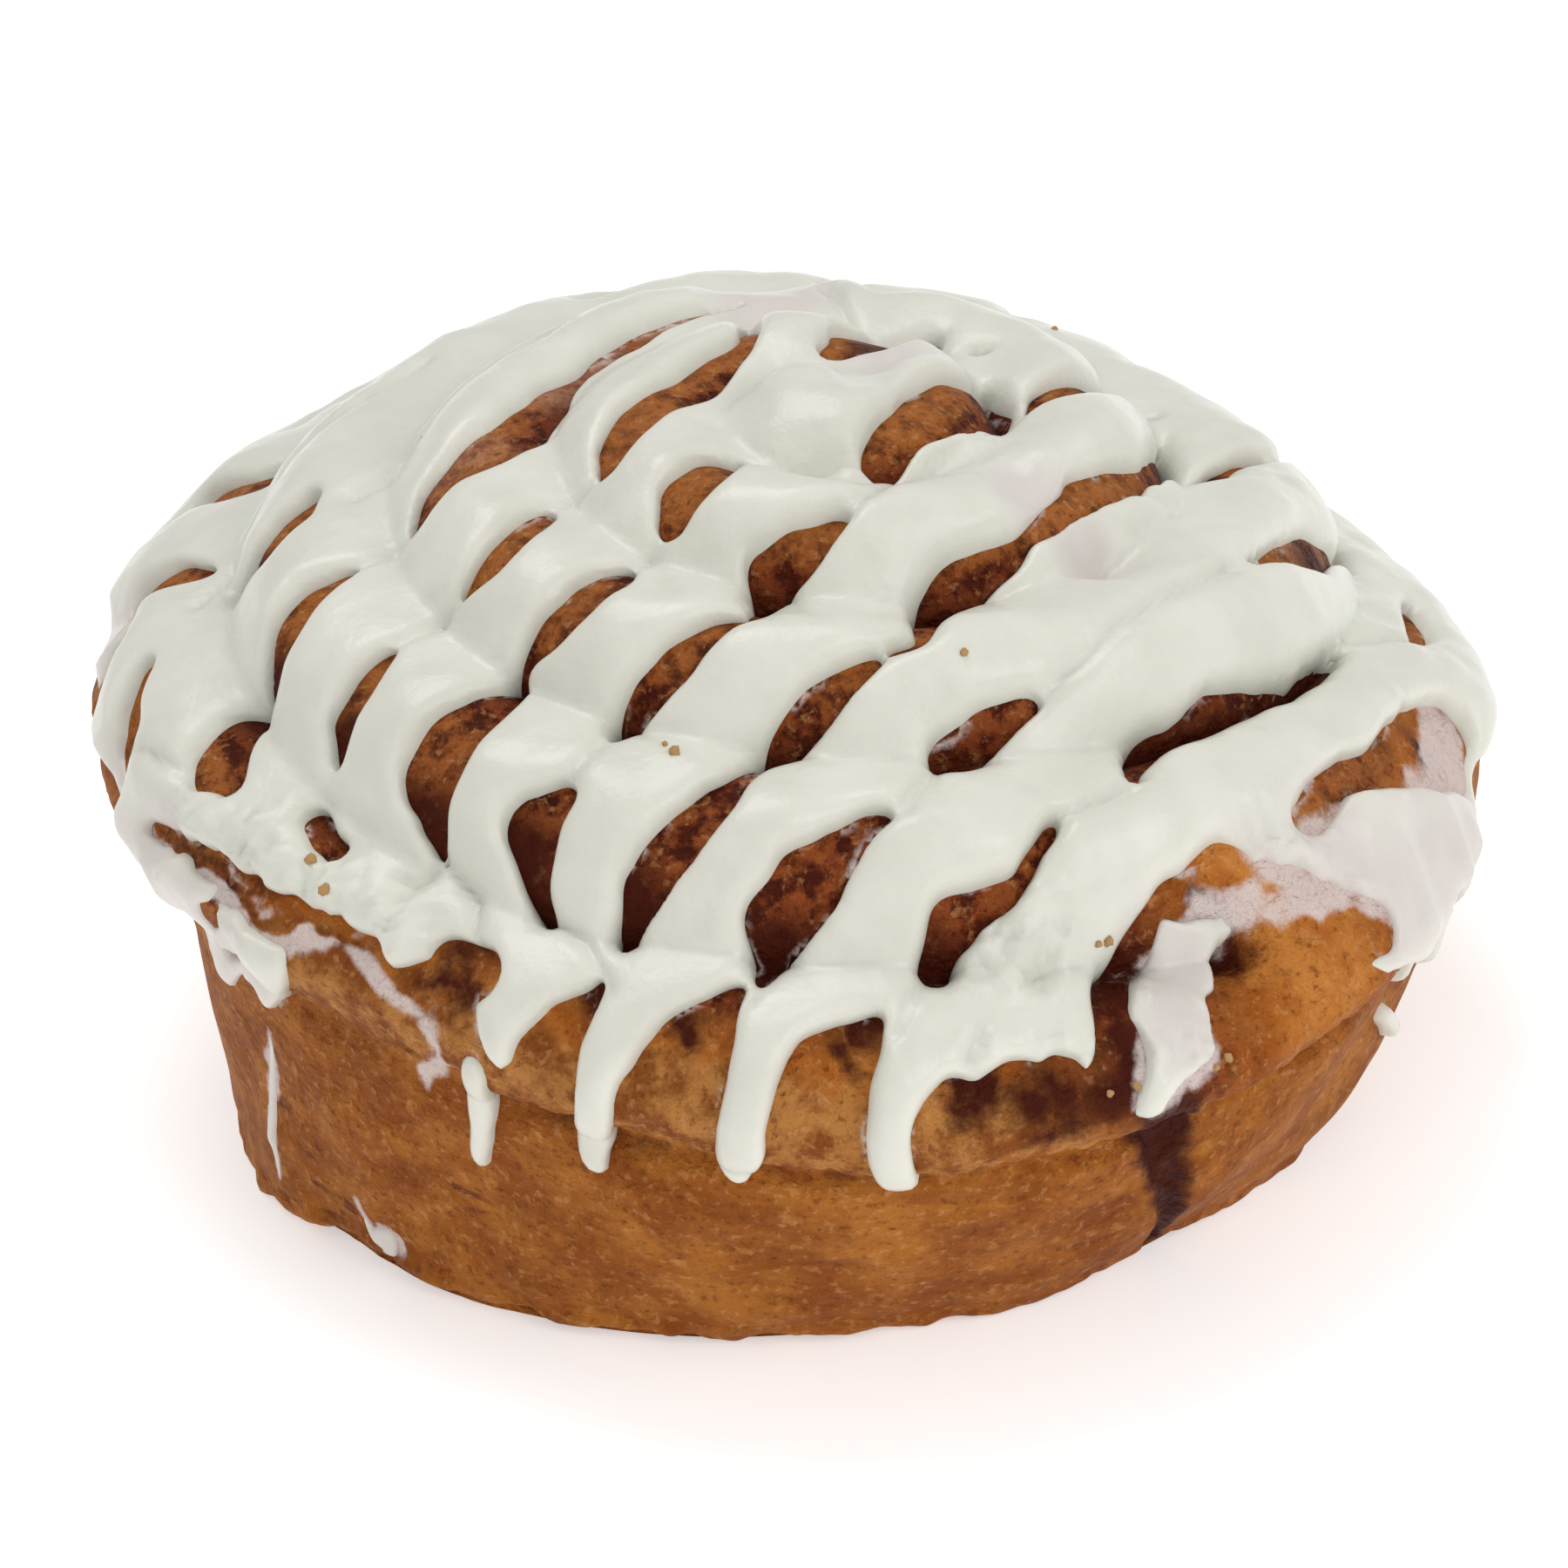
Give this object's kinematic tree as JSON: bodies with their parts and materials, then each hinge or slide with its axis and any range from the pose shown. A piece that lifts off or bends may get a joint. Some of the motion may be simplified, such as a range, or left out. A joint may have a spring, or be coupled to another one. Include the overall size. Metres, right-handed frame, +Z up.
{
  "type": "iced cinnamon roll",
  "caption": "Large coiled sweet bun with a domed top, a wall that narrows to a flat base, thick white icing in slanting rows and drips over the rim.",
  "frame": {"origin": "middle of the bun's plan box, on the plane it stands on", "axes": "+Z up, and -Y towards the side seen in the picture"},
  "size_m": [0.1176, 0.1238, 0.0631],
  "materials": {
    "dough_roll": "golden brown baked dough with a satin off-white icing fused on top",
    "cinnamon_filling": "dark reddish brown sticky cinnamon sugar"
  },
  "bodies": {
    "root": {"dough_roll": "dough_roll", "cinnamon_filling": "cinnamon_filling"}
  },
  "joints": []
}
